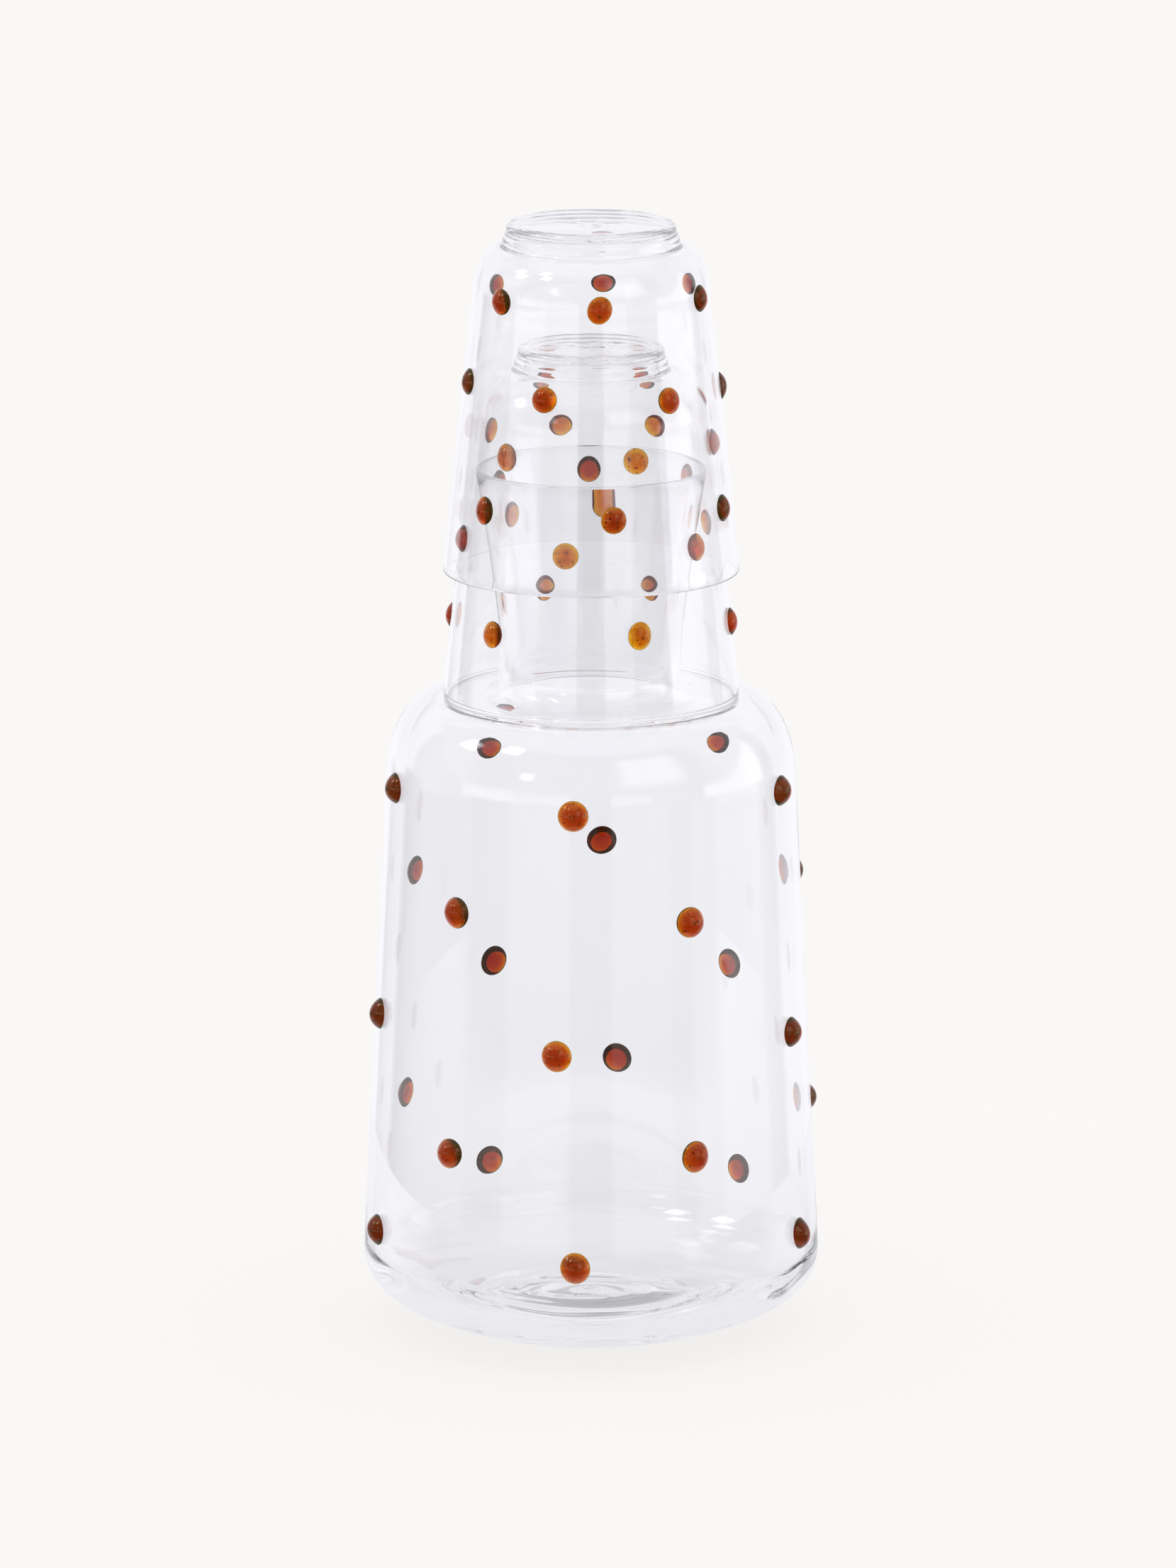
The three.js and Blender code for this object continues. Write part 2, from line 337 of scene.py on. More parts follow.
def studio_level(tree):
    azimuth, elevation = directions(tree)
    far = azimuth.size().step(*FAR_SPAN)
    below = under(elevation, EYE_LINE)
    upper = upper_studio(azimuth, elevation, far)
    lower = lower_studio(azimuth, elevation, far)
    mirrored = upper * (1.0 - below) + lower * below + studio_lights(azimuth, elevation)
    clear_view = under(elevation, TABLE_LINE) * (FAR_FLOOR_LEVEL - 1.0) + 1.0
    straight = straight_through(tree)
    return straight * clear_view + (1.0 - straight) * mirrored


world = bpy.data.worlds.new("studio")
bpy.context.scene.world = world
world.use_nodes = True
tree = clear_tree(world.node_tree)
seen_by_camera = Wire.node(tree, "ShaderNodeLightPath", output="Is Camera Ray")
level = studio_level(tree)
studio = Wire.node(tree, "ShaderNodeBackground", sockets={"Color": COOL_WHITE, "Strength": level})
backdrop = Wire.node(tree, "ShaderNodeBackground", sockets={"Color": PAPER, "Strength": 1.0})
shown = Wire.node(tree, "ShaderNodeMixShader", sockets={0: seen_by_camera, 1: studio, 2: backdrop})
finish_tree(tree, "ShaderNodeOutputWorld", Surface=shown)
print("studio:", len(tree.nodes), "nodes")

# %% [markdown]
# The table is a plain disc. Most of its brightness is its own, so that it keeps the backdrop's pale
# colour, and the rest comes from the light that falls on it, so that the set still casts a faint
# shadow. In the glass it has levels of its own: pale where light came straight through, dark on the
# camera's side where it was thrown back, and a grey shadow painted into its own light under the
# push-up, which shows up the swirl in the carafe's floor.

# %% Table
TABLE_RADIUS = 0.24
TABLE_SEGMENTS = 96
OWN_LIGHT = 0.85
STUDIO_LIGHT_ON_TABLE = 0.90
TABLE_LEVEL = 0.93
TABLE_EDGE_LEVEL = 0.965
NEAR_TABLE_LEVEL = 0.05
# Painted shadow: the table's own light, as seen in the glass, is dimmed to this grey under the push-up
UNDER_BASE_SHADOW_LEVEL = 0.45
# Where one level gives way to the next: metres from the axis, or along Y for the far side
FAR_SIDE_STARTS = (-0.06, 0.03)
UNDER_SET_ENDS = (0.09, 0.065)
UNDER_BASE_SHADOW_ENDS = (0.029, 0.015)
EDGE_STARTS = (0.10, 0.23)
own_light_level = (1.0 - (1.0 - OWN_LIGHT) * STUDIO_LIGHT_ON_TABLE) / OWN_LIGHT

table_mesh = bmesh.new()
bmesh.ops.create_circle(table_mesh, cap_ends=True, radius=TABLE_RADIUS, segments=TABLE_SEGMENTS)
table_data = bpy.data.meshes.new("table")
table_mesh.to_mesh(table_data)
table_mesh.free()
table = bpy.data.objects.new("table", table_data)
bpy.context.scene.collection.objects.link(table)


def cool(level):
    return [level * part for part in COOL_WHITE]


def paper_in_glass(tree):
    place = Wire.node(tree, "ShaderNodeTexCoord", output="Object")
    reach = Wire.node(tree, "ShaderNodeVectorMath", {"operation": "LENGTH"}, {0: place}, output="Value")
    depth = Wire.node(tree, "ShaderNodeSeparateXYZ", sockets={0: place}, output="Y")
    far_side = depth.step(*FAR_SIDE_STARTS)
    under_set = reach.step(*UNDER_SET_ENDS)
    straight = straight_through(tree)
    bright_mirrored = far_side + under_set * (1.0 - far_side)
    bright_part = straight + (1.0 - straight) * bright_mirrored
    bright = reach.step(*EDGE_STARTS).mix(cool(TABLE_LEVEL), cool(TABLE_EDGE_LEVEL))
    lit = bright_part.mix(cool(NEAR_TABLE_LEVEL), bright)
    # Painted shadow: a grey disc in the table's own light under the carafe's push-up
    return reach.step(*UNDER_BASE_SHADOW_ENDS).mix(lit, cool(UNDER_BASE_SHADOW_LEVEL))


paper = bpy.data.materials.new("pale_paper")
paper.use_nodes = True
tree = clear_tree(paper.node_tree)
seen_by_camera = Wire.node(tree, "ShaderNodeLightPath", output="Is Camera Ray")
shown = seen_by_camera.mix(paper_in_glass(tree), PAPER)
lit_paper = Wire.node(tree, "ShaderNodeBsdfDiffuse", sockets={"Color": PAPER})
own_light = Wire.node(tree, "ShaderNodeEmission", sockets={"Color": shown, "Strength": own_light_level})
surface = Wire.node(tree, "ShaderNodeMixShader", sockets={0: OWN_LIGHT, 1: lit_paper, 2: own_light})
finish_tree(tree, "ShaderNodeOutputMaterial", Surface=surface)
table_data.materials.append(paper)
print("table radius:", TABLE_RADIUS)

# %% [markdown]
# Glass bends light at both faces of its wall and takes a little of it on the way, which is why a
# rim or a thick base looks darker than a wall. That loss is a volume of its own, given by the
# colour that it lets through. What changes over the surface is given as functions of the node tree,
# so that one builder serves the clear and the coloured glass.

# %% Glass
GLASS_IOR = 1.5
WHITE = (1.0, 1.0, 1.0, 1.0)


def object_noise(tree, scale, detail=2.0, stretch=(1.0, 1.0, 1.0)):
    place = Wire.node(tree, "ShaderNodeTexCoord", output="Object")
    placed = Wire.node(tree, "ShaderNodeMapping", sockets={"Vector": place, "Scale": stretch})
    settings = {"Vector": placed, "Scale": scale, "Detail": detail}
    return Wire.node(tree, "ShaderNodeTexNoise", sockets=settings)


def glass_material(name, colour, roughness, ripple, let_through, density, clarity=1.0, shine=WHITE):
    """Glass whose colour, haze and ripple are given as functions of its node tree."""
    material = bpy.data.materials.new(name)
    material.use_nodes = True
    tree = clear_tree(material.node_tree)
    relief = {"Strength": 1.0, "Distance": 1.0, "Height": ripple(tree)}
    surface = Wire.node(tree, "ShaderNodeBsdfPrincipled", sockets={
        "Base Color": colour(tree),
        "Roughness": roughness(tree),
        "IOR": GLASS_IOR,
        "Transmission Weight": clarity,
        "Specular Tint": shine,
        "Normal": Wire.node(tree, "ShaderNodeBump", sockets=relief),
    })
    loss = {"Color": let_through, "Density": density}
    inside = Wire.node(tree, "ShaderNodeVolumeAbsorption", sockets=loss)
    finish_tree(tree, "ShaderNodeOutputMaterial", Surface=surface, Volume=inside)
    return material


print("glass with a bend of", GLASS_IOR)

# %% [markdown]
# Clear blown glass is never quite even. Faint streaks are drawn up the wall, a breath of haze lies
# here and there, and a slow ripple bends what is seen through it. Each is a noise on the piece's own
# coordinates, whose scale is a number of cells to the metre.

# %% Clear glass
CLEAR_STREAKS = {"scale": 45.0, "detail": 3.0, "stretch": (1.0, 1.0, 0.25)}
CLEAR_STREAK_STARTS = (0.35, 0.70)
CLEAR_STREAK_COLOUR = (0.99, 0.991, 0.997, 1.0)
CLEAR_HAZE = {"scale": 120.0}
CLEAR_HAZE_STARTS = (0.55, 0.90)
CLEAR_HAZE_ROUGHNESS = 0.015
CLEAR_RIPPLE = {"scale": 55.0, "detail": 1.0, "stretch": (1.0, 1.0, 0.4)}
CLEAR_RIPPLE_HEIGHT = 0.05 * MM
CLEAR_LETS_THROUGH = (0.42, 0.42, 0.50, 1.0)
CLEAR_DENSITY = 1.0


def clear_colour(tree):
    return object_noise(tree, **CLEAR_STREAKS).step(*CLEAR_STREAK_STARTS).mix(WHITE, CLEAR_STREAK_COLOUR)


def clear_haze(tree):
    return object_noise(tree, **CLEAR_HAZE).step(*CLEAR_HAZE_STARTS) * CLEAR_HAZE_ROUGHNESS


def clear_ripple(tree):
    return object_noise(tree, **CLEAR_RIPPLE) * CLEAR_RIPPLE_HEIGHT


clear_glass = glass_material("blown_clear_glass", clear_colour, clear_haze, clear_ripple,
                             CLEAR_LETS_THROUGH, CLEAR_DENSITY)
print("material:", clear_glass.name)

# %% [markdown]
# Amber glass is the same stuff with strong colour: blue light is gone within a millimetre and red
# passes. The drops are small gathers from the furnace, a trace cloudy, with fine dark seeds caught
# in them and a streak of paler and deeper colour. Each vessel's drops came from a melt of their own
# strength.

# %% Amber glass
SEED_CELLS_PER_METRE = 900.0
SEED_SHARE = 0.22
SEED_SHARE_EDGE = 0.01
SEED_REACH = (0.26, 0.16)
SEED_LEAST_SMALLNESS = 0.7
SEED_COLOUR = (0.10, 0.04, 0.01, 1.0)
AMBER_STREAKS = {"scale": 260.0, "detail": 3.0}
AMBER_STREAK_STARTS = (0.35, 0.65)
PALE_AMBER = (1.0, 0.80, 0.08, 1.0)
DEEP_AMBER = (0.80, 0.46, 0.02, 1.0)
AMBER_HAZE = {"scale": 400.0}
AMBER_HAZE_STARTS = (0.5, 0.9)
AMBER_HAZE_ROUGHNESS = 0.03
AMBER_RIPPLE = {"scale": 350.0, "detail": 1.0}
AMBER_RIPPLE_HEIGHT = 0.02 * MM
AMBER_LETS_THROUGH = (0.924, 0.66, 0.0, 1.0)
AMBER_CLARITY = 0.97
AMBER_SHINE = (1.0, 0.82, 0.50, 1.0)


def seed_specks(tree):
    """1 in the seeds, which lie in a share of the cells and differ in size, and 0 between them."""
    place = Wire.node(tree, "ShaderNodeTexCoord", output="Object")
    cells = {"Vector": place, "Scale": SEED_CELLS_PER_METRE}
    distance = Wire.node(tree, "ShaderNodeTexVoronoi", sockets=cells)
    chance = Wire.node(tree, "ShaderNodeSeparateXYZ", sockets={0: distance.twin("Color")})
    holds_seed = chance.step(SEED_SHARE, SEED_SHARE - SEED_SHARE_EDGE)
    smallness = chance.twin("Y") + SEED_LEAST_SMALLNESS
    return (distance * smallness).step(*SEED_REACH) * holds_seed


def amber_colour(tree):
    streaked = object_noise(tree, **AMBER_STREAKS).step(*AMBER_STREAK_STARTS).mix(PALE_AMBER, DEEP_AMBER)
    return seed_specks(tree).mix(streaked, SEED_COLOUR)


def amber_haze(tree):
    return object_noise(tree, **AMBER_HAZE).step(*AMBER_HAZE_STARTS) * AMBER_HAZE_ROUGHNESS


def amber_ripple(tree):
    return object_noise(tree, **AMBER_RIPPLE) * AMBER_RIPPLE_HEIGHT


def amber_melt(name, strength):
    return glass_material(name, amber_colour, amber_haze, amber_ripple, AMBER_LETS_THROUGH, strength,
                          AMBER_CLARITY, AMBER_SHINE)


drop_melts = {
    "carafe": amber_melt("carafe_amber_glass", 4500.0),
    "lower_tumbler": amber_melt("lower_amber_glass", 2600.0),
    "upper_tumbler": amber_melt("upper_amber_glass", 6200.0),
}
print("materials:", [melt.name for melt in drop_melts.values()])

# %% [markdown]
# All three vessels are round, so each is one outline that is spun about the axis. An outline runs
# from the middle of the outside to the lip and back down the inside, or the other way, which makes
# a closed wall with a real thickness. Its round stretches are parts of ellipses and bends, and its
# straight ones have points along them for the hand-made ripple.

# %% Outline helpers
SAME_POINT = 1e-6


def at(radius, height):
    return Vector((radius, 0.0, height))


def run(start, end, steps):
    return [start.lerp(end, step / steps) for step in range(steps + 1)]


def arc(centre, across, up, start, end, steps):
    """Stretch of an ellipse between two angles in degrees, from the outward direction."""
    points = []
    for step in range(steps + 1):
        angle = math.radians(start + (end - start) * step / steps)
        points.append(centre + at(across * math.cos(angle), up * math.sin(angle)))
    return points


def bend(start, corner, end, steps):
    """Round that leaves towards a corner and arrives from it."""
    points = []
    for step in range(steps + 1):
        share = step / steps
        points.append(start.lerp(corner, share).lerp(corner.lerp(end, share), share))
    return points


def sweep(start, leave, arrive, end, steps):
    """Longer round that leaves towards one point and arrives from another."""
    points = []
    for step in range(steps + 1):
        share = step / steps
        first = start.lerp(leave, share).lerp(leave.lerp(arrive, share), share)
        second = leave.lerp(arrive, share).lerp(arrive.lerp(end, share), share)
        points.append(first.lerp(second, share))
    return points


def joined(*stretches):
    points = []
    for stretch in stretches:
        for point in stretch:
            if not points or (points[-1] - point).length > SAME_POINT:
                points.append(point)
    return points


print("outline helpers ready")

# %% [markdown]
# Spinning an outline that starts and ends on the axis gives a closed solid. Its doubled points are
# merged and its faces turned outwards. Then it becomes a piece: smooth, with its glass, riding on
# its body.

# %% Spinning and placing


def spun(outline, steps):
    """Closed solid of an outline that starts and ends on the axis."""
    mesh = bmesh.new()
    corners = [mesh.verts.new(point) for point in outline]
    edges = [mesh.edges.new(pair) for pair in zip(corners, corners[1:])]
    bmesh.ops.spin(mesh, geom=corners + edges, axis=(0, 0, 1), cent=(0, 0, 0), angle=2 * math.pi,
                   steps=steps, use_merge=True)
    bmesh.ops.remove_doubles(mesh, verts=mesh.verts, dist=SAME_POINT)
    bmesh.ops.recalc_face_normals(mesh, faces=mesh.faces)
    return mesh


def piece(name, mesh, material, body):
    """Turns a bmesh into a smooth piece of glass that rides on a body."""
    for face in mesh.faces:
        face.smooth = True
    data = bpy.data.meshes.new(name)
    mesh.to_mesh(data)
    mesh.free()
    data.materials.append(material)
    made = bpy.data.objects.new(name, data)
    bpy.context.scene.collection.objects.link(made)
    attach(made, body)
    return made


print("spinning and placing ready")

# %% [markdown]
# The carafe was blown, so its wall is thin and its base is thick, with a push-up that leaves a ring
# to stand on. The heights of the mouth and the shoulder and the width of the base come from the
# frame. The other sizes are those of the solid, except for the lip, which is worked thinner here.

# %% Carafe sizes
carafe_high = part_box("carafe")[1]
tumbler_low, tumbler_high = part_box("lower_tumbler")
rim_radius = tumbler_high.x
seat_gap = 0.3 * MM
shoulder_height = tumbler_low.z - seat_gap
mouth_height = carafe_high.z
base_radius = carafe_high.x
standing_radius = 28 * MM
standing_width = 4 * MM
kick_height = 3.2 * MM
base_rise = 19.8 * MM
base_reach = 21 * MM
base_climb = math.tan(math.radians(16))
shoulder_rise = 20.6 * MM
seat_margin = 0.9 * MM
wall_top_radius = 50.2 * MM
shoulder_flat_radius = rim_radius + seat_margin
carafe_wall = 1.8 * MM
carafe_lip_wall = 1.2 * MM
carafe_floor = 4.9 * MM
mouth_radius = 28.26 * MM
mouth_flare = 6.4 * MM
waist_radius = mouth_radius - mouth_flare
waist_fillet = 5.5 * MM
waist_length = 14 * MM
wall_top = shoulder_height - shoulder_rise
fillet_centre = at(waist_radius + waist_fillet, shoulder_height + waist_fillet)
print("carafe:", round(mouth_height / MM, 1), "mm high,", round(2 * base_radius / MM, 1), "mm across")

# %% [markdown]
# The outside climbs from the push-up over the standing ring, the base, the wall and the shoulder to
# the waist and the flared mouth. The inside comes back down at the wall's thickness, and its floor
# is a good deal thicker.

# %% Carafe outline
KICK_STEPS = 10
BASE_STEPS = 20
INNER_BASE_STEPS = 36
WALL_STEPS = 36
SHOULDER_STEPS = 18
SEAT_STEPS = 4
FILLET_STEPS = 12
NECK_STEPS = 20
LIP_STEPS = 12
FLOOR_STEPS = 26


def carafe_outside():
    return joined(
        bend(at(0, kick_height), at((standing_radius - standing_width) / 2, kick_height),
             at(standing_radius - standing_width, 0), KICK_STEPS),
        sweep(at(standing_radius, 0), at(standing_radius + base_reach, base_reach * base_climb),
              at(base_radius, base_rise / 2), at(base_radius, base_rise), BASE_STEPS),
        run(at(base_radius, base_rise), at(wall_top_radius, wall_top), WALL_STEPS),
        arc(at(shoulder_flat_radius, wall_top), wall_top_radius - shoulder_flat_radius, shoulder_rise,
            0, 90, SHOULDER_STEPS),
        run(at(shoulder_flat_radius, shoulder_height), at(fillet_centre.x, shoulder_height), SEAT_STEPS),
        arc(fillet_centre, waist_fillet, waist_fillet, 270, 180, FILLET_STEPS),
        bend(at(waist_radius, fillet_centre.z), at(waist_radius, fillet_centre.z + waist_length),
             at(mouth_radius, mouth_height - carafe_lip_wall / 2), NECK_STEPS),
    )


def carafe_inside():
    inner_waist = waist_radius - carafe_wall
    inner_base = base_radius - carafe_wall
    inner_fillet = waist_fillet + carafe_wall
    floor_edge = at(standing_radius, carafe_floor)
    return joined(
        bend(at(mouth_radius - carafe_lip_wall, mouth_height - carafe_lip_wall / 2),
             at(inner_waist, fillet_centre.z + waist_length), at(inner_waist, fillet_centre.z), NECK_STEPS),
        arc(fillet_centre, inner_fillet, inner_fillet, 180, 270, FILLET_STEPS),
        run(at(fillet_centre.x, shoulder_height - carafe_wall),
            at(shoulder_flat_radius, shoulder_height - carafe_wall), SEAT_STEPS),
        arc(at(shoulder_flat_radius, wall_top), wall_top_radius - carafe_wall - shoulder_flat_radius,
            shoulder_rise - carafe_wall, 90, 0, SHOULDER_STEPS),
        run(at(wall_top_radius - carafe_wall, wall_top), at(inner_base, base_rise + carafe_wall),
            WALL_STEPS),
        sweep(at(inner_base, base_rise + carafe_wall), at(inner_base, base_rise / 2 + carafe_wall),
              at((floor_edge.x + inner_base) / 2, floor_edge.z), floor_edge, INNER_BASE_STEPS),
        bend(floor_edge, at(floor_edge.x / 2, floor_edge.z), at(0, carafe_floor + kick_height),
             FLOOR_STEPS),
    )


lip_round = carafe_lip_wall / 2
lip_centre = at(mouth_radius - lip_round, mouth_height - lip_round)
carafe_lip = arc(lip_centre, lip_round, lip_round, 0, 180, LIP_STEPS)
carafe_outline = joined(carafe_outside(), carafe_lip, carafe_inside())
print("carafe outline:", len(carafe_outline), "points")

# %% [markdown]
# Glass that is blown and turned by hand is never a perfect round. Both faces of the wall wander
# together by a tenth of a millimetre or so, which is enough to bend the reflections. The wandering
# is a smooth noise in the mesh itself, and it dies away near the axis so that feet and floors stay
# closed.

# %% Hand-blown ripple
RIPPLE_LENGTH = 45 * MM
RIPPLE_HEIGHT = 0.16 * MM
RIPPLE_FADE = 20 * MM


def ripple_by_hand(mesh, offset):
    for vertex in mesh.verts:
        radius = vertex.co.xy.length
        if radius > SAME_POINT:
            wander = noise.noise(vertex.co / RIPPLE_LENGTH + offset)
            scale = 1 + RIPPLE_HEIGHT * wander / max(radius, RIPPLE_FADE)
            vertex.co.x *= scale
            vertex.co.y *= scale


print("ripple of", RIPPLE_HEIGHT / MM, "mm")

# %% [markdown]
# The floor inside the carafe keeps a swirl from the turning of the pipe: a ridge near its edge, and
# a wandering spiral that shows as curved streaks through the base. Only points of the floor that
# face up are moved.

# %% Carafe
VESSEL_STEPS = 192
CARAFE_RIPPLE_OFFSET = Vector((3.1, 0.4, 7.7))
FLOOR_FACES_UP = 0.2
FLOOR_RIPPLE = 1.0 * MM
FLOOR_RIPPLE_SPACING = 13 * MM
FLOOR_WANDER = 5 * MM
FLOOR_WANDER_LENGTH = 24 * MM
FLOOR_RING = 1.2 * MM
FLOOR_RING_UNEVEN = 0.5
FLOOR_RING_TURN = 2.0
floor_ring_radius = 32 * MM
floor_ring_width = 2.2 * MM
swirl_end = 0.85 * base_radius


def swirl_floor(mesh):
    """Ridge and spiral of the turning pipe, in the floor inside the carafe."""
    mesh.normal_update()
    for vertex in mesh.verts:
        radius = vertex.co.xy.length
        if vertex.normal.z > FLOOR_FACES_UP and vertex.co.z < base_rise and radius < base_radius:
            angle = math.atan2(vertex.co.y, vertex.co.x)
            ring = math.exp(-((radius - floor_ring_radius) / floor_ring_width) ** 2)
            uneven = 1 + FLOOR_RING_UNEVEN * math.cos(angle + FLOOR_RING_TURN)
            wander = FLOOR_WANDER * noise.noise(vertex.co / FLOOR_WANDER_LENGTH)
            spiral = math.sin(2 * math.pi * (radius + wander) / FLOOR_RIPPLE_SPACING + angle)
            fade = min(radius / RIPPLE_FADE, 1) * max(0, 1 - (radius / swirl_end) ** 4)
            vertex.co.z += FLOOR_RING * ring * uneven + FLOOR_RIPPLE * spiral * fade


carafe_mesh = spun(carafe_outline, VESSEL_STEPS)
ripple_by_hand(carafe_mesh, CARAFE_RIPPLE_OFFSET)
swirl_floor(carafe_mesh)
carafe_glass = piece("carafe_glass", carafe_mesh, clear_glass, "carafe")
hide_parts("carafe")
print("carafe:", len(carafe_glass.data.polygons), "faces")

# %% [markdown]
# The tumblers are nearly alike, each with a straight leaning wall, a round shoulder and a small
# foot, and they stand upside down. One outline serves both, with a narrower foot on the lower one.
# The frame gives the height of each seat, the rim and the top of the foot.

# %% Tumbler outline
TUMBLER_WALL_STEPS = 30
TUMBLER_SHOULDER_STEPS = 16
TUMBLER_FLOOR_STEPS = 10
FOOT_ROUND_STEPS = 8
FOOT_EDGE_STEPS = 12
FOOT_TOP_STEPS = 36
RIM_STEPS = 10
tumbler_height = tumbler_high.z - tumbler_low.z
tumbler_draft = math.tan(math.radians(6.05))
tumbler_wall_height = 68 * MM
tumbler_shoulder_rise = 12 * MM
tumbler_shoulder_radius = rim_radius - tumbler_draft * tumbler_wall_height
tumbler_foot_taper = 1.6 * MM
tumbler_foot_hollow = 2.0 * MM
tumbler_foot_edge = 2.2 * MM
tumbler_foot_wall = 1.6 * MM
tumbler_wall = 1.0 * MM
tumbler_floor = 2.6 * MM
foot_insets = {"lower_tumbler": 9.4 * MM, "upper_tumbler": 6.6 * MM}


def tumbler_outside(foot_inset):
    foot_join = at(tumbler_shoulder_radius - foot_inset, tumbler_wall_height + tumbler_shoulder_rise)
    foot_waist = foot_join.x - tumbler_foot_taper / 2
    foot_end = foot_join.x - tumbler_foot_taper
    return joined(
        run(at(rim_radius, tumbler_wall / 2), at(tumbler_shoulder_radius, tumbler_wall_height),
            TUMBLER_WALL_STEPS),
        arc(at(foot_join.x, tumbler_wall_height), foot_inset, tumbler_shoulder_rise,
            0, 90, TUMBLER_SHOULDER_STEPS),
        bend(foot_join, at(foot_waist, foot_join.z), at(foot_waist, foot_join.z + tumbler_foot_hollow),
             FOOT_ROUND_STEPS),
        bend(at(foot_end, tumbler_height - tumbler_foot_edge), at(foot_end, tumbler_height),
             at(foot_end - tumbler_foot_edge, tumbler_height), FOOT_EDGE_STEPS),
        run(at(foot_end - tumbler_foot_edge, tumbler_height), at(0, tumbler_height), FOOT_TOP_STEPS),
    )


def tumbler_inside(foot_inset):
    floor_height = tumbler_height - tumbler_floor
    shoulder_end = at(tumbler_shoulder_radius - foot_inset - tumbler_wall,
                      tumbler_wall_height + tumbler_shoulder_rise - tumbler_wall)
    foot_end = tumbler_shoulder_radius - foot_inset - tumbler_foot_taper
    well = at(foot_end - tumbler_foot_wall, (shoulder_end.z + floor_height) / 2)
    well_round = floor_height - well.z
    return joined(
        run(at(0, floor_height), at(well.x - well_round, floor_height), TUMBLER_FLOOR_STEPS),
        bend(at(well.x - well_round, floor_height), at(well.x, floor_height), well, FOOT_ROUND_STEPS),
        bend(well, at(well.x, shoulder_end.z), shoulder_end, FOOT_ROUND_STEPS),
        arc(at(shoulder_end.x, tumbler_wall_height), foot_inset, tumbler_shoulder_rise - tumbler_wall,
            90, 0, TUMBLER_SHOULDER_STEPS),
        run(at(tumbler_shoulder_radius - tumbler_wall, tumbler_wall_height),
            at(rim_radius - tumbler_wall, tumbler_wall / 2), TUMBLER_WALL_STEPS),
    )


rim_round = tumbler_wall / 2
tumbler_rim = arc(at(rim_radius - rim_round, rim_round), rim_round, rim_round, -180, 0, RIM_STEPS)
print("tumbler:", round(tumbler_height / MM, 1), "mm high, rim", round(2 * rim_radius / MM, 1), "mm across")

# %% [markdown]
# The top of each foot was cracked off a pontil rod, which leaves a shallow dish with an uneven scar
# in its middle. It is the brightest and busiest spot of a tumbler, so it is real relief and not
# only a bump in the material.

# %% Tumblers
FOOT_FACES_UP = 0.5
FOOT_DISH = 0.35 * MM
PONTIL_RADIUS = 7 * MM
PONTIL_RIPPLE = 0.22 * MM
PONTIL_SPACING = 3.0 * MM
PONTIL_SINK = 0.5
dish_radius = rim_radius / 2
tumbler_ripple = {"lower_tumbler": Vector((9.2, 5.5, 1.3)), "upper_tumbler": Vector((4.6, 8.1, 2.9))}


def dish_foot(mesh, offset):
    """Shallow dish in the top of the foot, with the uneven scar of the pontil rod in its middle."""
    mesh.normal_update()
    for vertex in mesh.verts:
        radius = vertex.co.xy.length
        if vertex.normal.z > FOOT_FACES_UP and vertex.co.z > tumbler_height - tumbler_floor / 2:
            uneven = noise.noise(vertex.co / PONTIL_SPACING + offset) - PONTIL_SINK
            scar = math.exp(-(radius / PONTIL_RADIUS) ** 4)
            dish = max(0, 1 - (radius / dish_radius) ** 2)
            vertex.co.z += PONTIL_RIPPLE * uneven * scar - FOOT_DISH * dish


for name, offset in tumbler_ripple.items():
    foot_inset = foot_insets[name]
    outline = joined(tumbler_inside(foot_inset), tumbler_rim, tumbler_outside(foot_inset))
    mesh = spun(outline, VESSEL_STEPS)
    ripple_by_hand(mesh, offset)
    dish_foot(mesh, offset)
    bmesh.ops.translate(mesh, verts=mesh.verts, vec=(0, 0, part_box(name)[0].z))
    tumbler_glass = piece(name + "_glass", mesh, clear_glass, name)
    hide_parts(name)
    print(name, len(tumbler_glass.data.polygons), "faces")

# %% [markdown]
# Each drop is a gather of amber glass that sagged into a low dome as it was pressed on. Its outline
# is spun like a vessel's. No two are alike: each leans, and is a little oval, by its own seeded
# draw.

# %% Drop
DROP_STEPS = 40
UNDERSIDE_STEPS = 6
DROP_EDGE_STEPS = 4
DOME_STEPS = 14
DROP_EDGE = 0.25 * MM
FLANK_WIDTH_SHARE = 0.78
FLANK_HEIGHT_SHARE = 0.58
NOSE_WIDTH_SHARE = 0.45
MOST_OVAL = 0.05
MOST_LEAN_ACROSS = 0.12
MOST_LEAN_DOWN = 0.14
MOST_LEAN_UP = 0.06


def drop_mesh(radius, height, tall, draw):
    flank = at(radius * FLANK_WIDTH_SHARE, height * FLANK_HEIGHT_SHARE)
    nose = at(radius * NOSE_WIDTH_SHARE, height)
    outline = joined(
        run(at(0, 0), at(radius - DROP_EDGE, 0), UNDERSIDE_STEPS),
        bend(at(radius - DROP_EDGE, 0), at(radius, 0), at(radius, DROP_EDGE), DROP_EDGE_STEPS),
        sweep(at(radius, DROP_EDGE), flank, nose, at(0, height), DOME_STEPS),
    )
    mesh = spun(outline, DROP_STEPS)
    oval = draw.uniform(-MOST_OVAL, MOST_OVAL)
    turn = draw.uniform(0, math.pi)
    lean_across = draw.uniform(-MOST_LEAN_ACROSS, MOST_LEAN_ACROSS)
    lean_up = draw.uniform(-MOST_LEAN_DOWN, MOST_LEAN_UP)
    lean = Vector((lean_across, lean_up))
    bmesh.ops.scale(mesh, verts=mesh.verts, vec=(1 / tall, tall, 1))
    for vertex in mesh.verts:
        angle = math.atan2(vertex.co.y, vertex.co.x)
        vertex.co.xy = vertex.co.xy * (1 + oval * math.cos(2 * (angle - turn))) + lean * vertex.co.z
    return mesh


print("drop of", DROP_STEPS, "steps round")

# %% [markdown]
# A flat drop would touch a round wall only along a line. So its points are laid on the wall: the
# underside follows the curve of the glass, with only a hair of air between.

# %% Laying drops on a wall
DROP_SEAM = 0.1 * MM


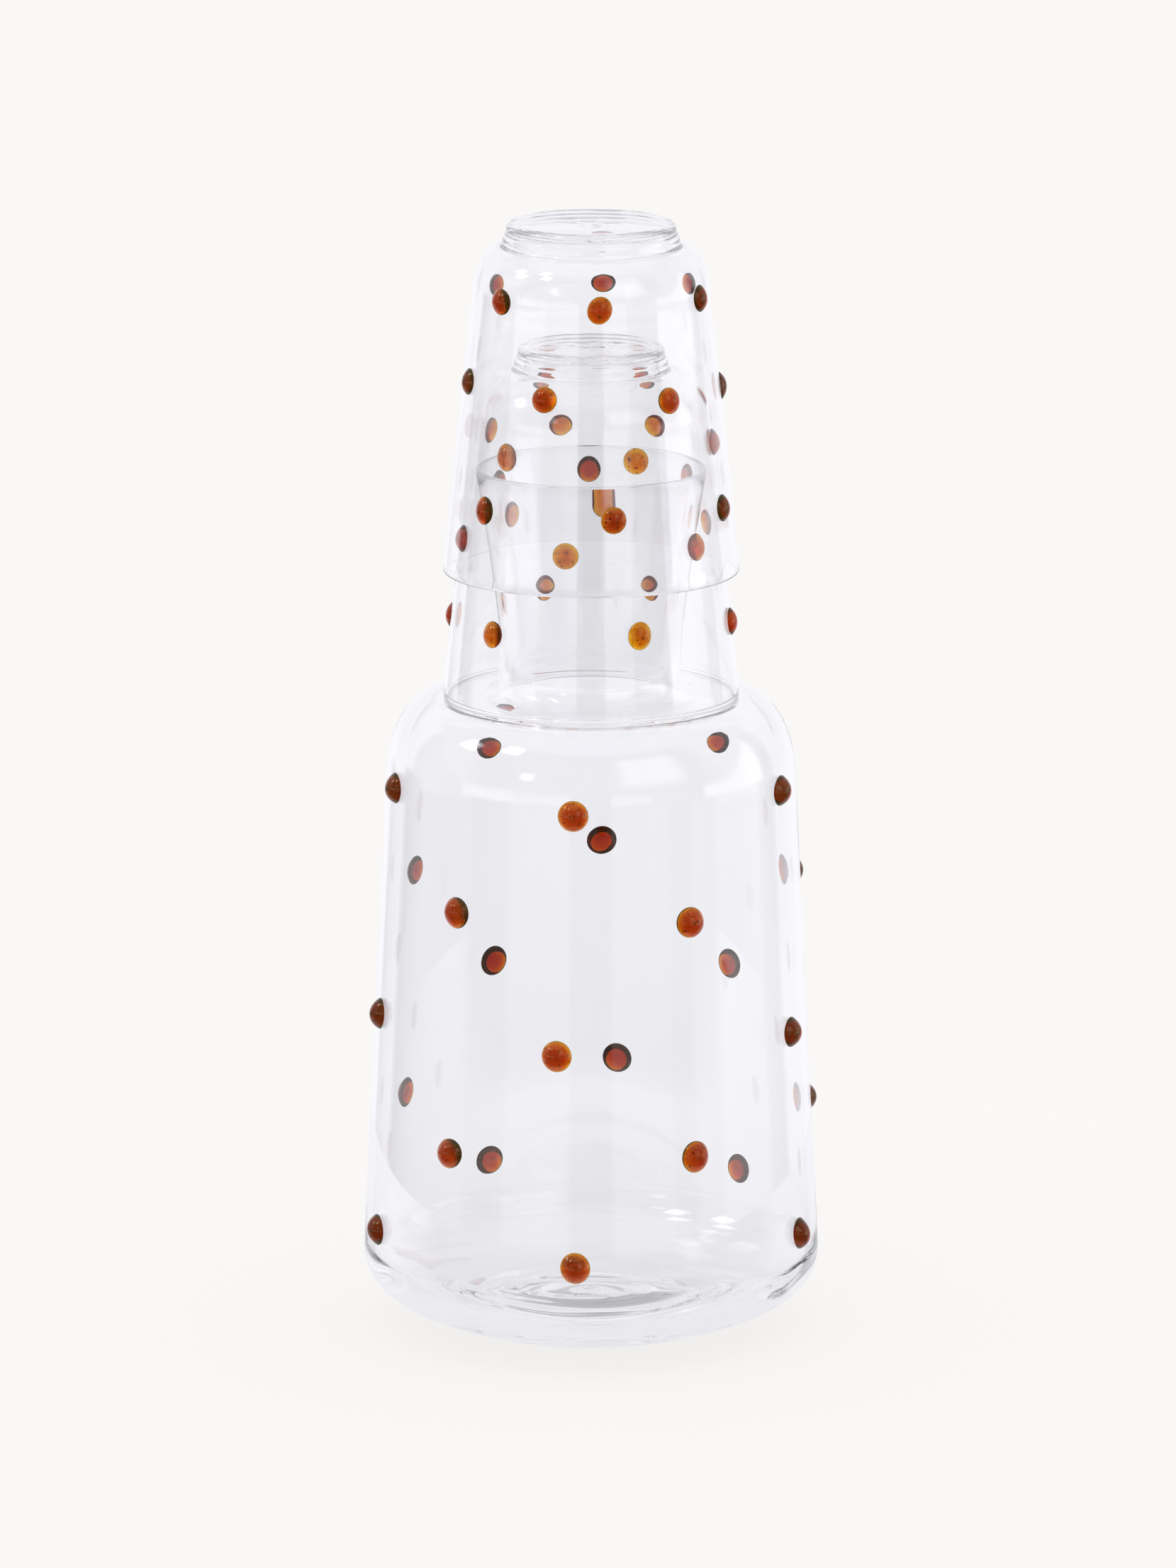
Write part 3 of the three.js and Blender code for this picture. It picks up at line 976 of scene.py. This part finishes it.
def wall_at(outline, height):
    """Radius of an outside outline at a height, and how far its normal leans up, as an angle."""
    for low, high in zip(outline, outline[1:]):
        if low.z <= height < high.z:
            share = (height - low.z) / (high.z - low.z)
            return low.lerp(high, share).x, math.atan2(low.x - high.x, high.z - low.z)
    raise ValueError(f"no wall at {height}")


def lay_on_wall(mesh, outline, seat_height, azimuth, height):
    """Bends a drop round a wall: its x runs round the wall, its y up it, and its z out of it."""
    radius, lean = wall_at(outline, height - seat_height)
    for vertex in mesh.verts:
        along, up, out = vertex.co
        out += DROP_SEAM
        reach = radius - up * math.sin(lean) + out * math.cos(lean)
        angle = azimuth + along / radius
        rise = up * math.cos(lean) + out * math.sin(lean)
        vertex.co = Vector((reach * math.sin(angle), -reach * math.cos(angle), height + rise))


print("seam of", DROP_SEAM / MM, "mm under a drop")

# %% [markdown]
# The frame has a small solid for each drop but five, and each amber piece goes where its solid is.
# The carafe's lowest row is part of the carafe's own solid in the frame, so those five places are
# given here.

# %% Drops
DRAW_SEED = 61
carafe_drop = {"radius": 3.75 * MM, "height": 2.74 * MM, "tall": 1.01}
tumbler_drop = {"radius": 3.18 * MM, "height": 1.8 * MM, "tall": 1.04}
drop_sizes = {"carafe": carafe_drop, "lower_tumbler": tumbler_drop, "upper_tumbler": tumbler_drop}
lowest_row_height = 28 * MM
lowest_row_angles = (-4, 66, 137, -152, -69.5)
outsides = {name: tumbler_outside(foot_inset) for name, foot_inset in foot_insets.items()}
outsides["carafe"] = carafe_outside()
draw = random.Random(DRAW_SEED)


def middle_of(node):
    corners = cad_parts[node].data.vertices
    return sum((corner.co for corner in corners), Vector()) / len(corners)


def amber_drop(name, vessel, azimuth, height):
    mesh = drop_mesh(**drop_sizes[vessel], draw=draw)
    lay_on_wall(mesh, outsides[vessel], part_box(vessel)[0].z, azimuth, height)
    return piece(name, mesh, drop_melts[vessel], vessel)


for vessel in drop_sizes:
    for node in sorted(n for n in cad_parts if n.startswith(vessel + "_drop_")):
        place = middle_of(node)
        drop = amber_drop(node + "_amber", vessel, math.atan2(place.x, -place.y), place.z)
        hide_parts(node)
for index, angle in enumerate(lowest_row_angles, start=1):
    amber_drop(f"carafe_drop_5_{index}_amber", "carafe", math.radians(angle), lowest_row_height)

# %% [markdown]
# Light crosses many walls of glass before it reaches the table, so it is given enough bounces. The
# colours are shown as they are.

# %% Finish
GLASS_BOUNCES = 128
CLEAR_PASSES = 16
cycles = bpy.context.scene.cycles
cycles.max_bounces = GLASS_BOUNCES
cycles.transmission_bounces = GLASS_BOUNCES
cycles.glossy_bounces = GLASS_BOUNCES
cycles.transparent_max_bounces = CLEAR_PASSES
bpy.context.scene.view_settings.view_transform = "Standard"
